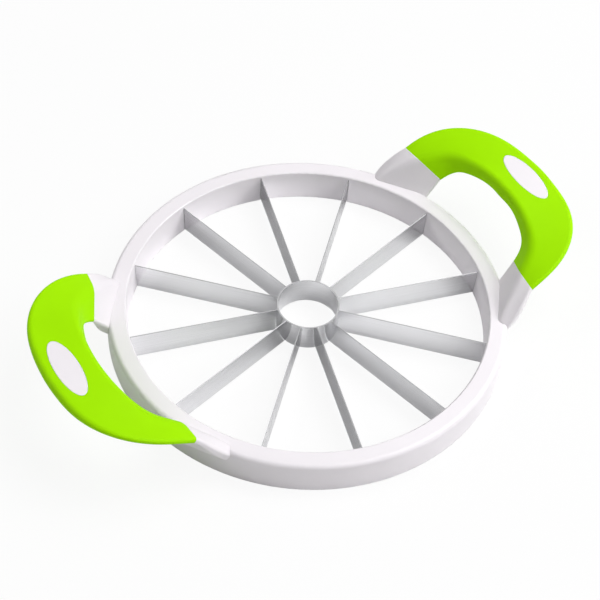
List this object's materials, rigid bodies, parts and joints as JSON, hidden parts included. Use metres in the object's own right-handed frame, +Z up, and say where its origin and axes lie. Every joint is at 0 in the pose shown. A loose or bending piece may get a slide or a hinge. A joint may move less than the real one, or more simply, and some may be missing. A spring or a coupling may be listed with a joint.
{
  "type": "fruit slicer",
  "caption": "Round melon slicer with a white plastic ring, radial steel blades from a central hub, and raised bow handles with soft lime-green grips.",
  "frame": {"origin": "centre of the ring on the table", "axes": "+Z up, +X along the right handle, blades half a pitch to either side of it"},
  "size_m": [0.3944, 0.28, 0.063],
  "materials": {
    "ring_white": "semi-gloss moulded ABS",
    "handle_white": "semi-gloss moulded ABS",
    "oval_white": "semi-gloss moulded ABS",
    "grip_green": "matt soft-touch moulded skin",
    "blade_steel": "brushed along the blade",
    "hub_steel": "brushed round the band",
    "screw_steel": "plain turned"
  },
  "bodies": {
    "root": {"ring_frame": "ring_white", "bottom_ring": "ring_white", "hub_ring": "hub_steel", "blade_01": "blade_steel", "blade_02": "blade_steel", "blade_03": "blade_steel", "blade_04": "blade_steel", "blade_05": "blade_steel", "blade_06": "blade_steel", "blade_07": "blade_steel", "blade_08": "blade_steel", "blade_09": "blade_steel", "blade_10": "blade_steel", "blade_11": "blade_steel", "blade_12": "blade_steel", "handle_core_right": "handle_white", "handle_core_left": "handle_white", "grip_right": "grip_green", "grip_left": "grip_green", "oval_inset_right": "oval_white", "oval_inset_left": "oval_white", "ring_screws": "screw_steel", "handle_screws": "screw_steel"}
  },
  "joints": []
}
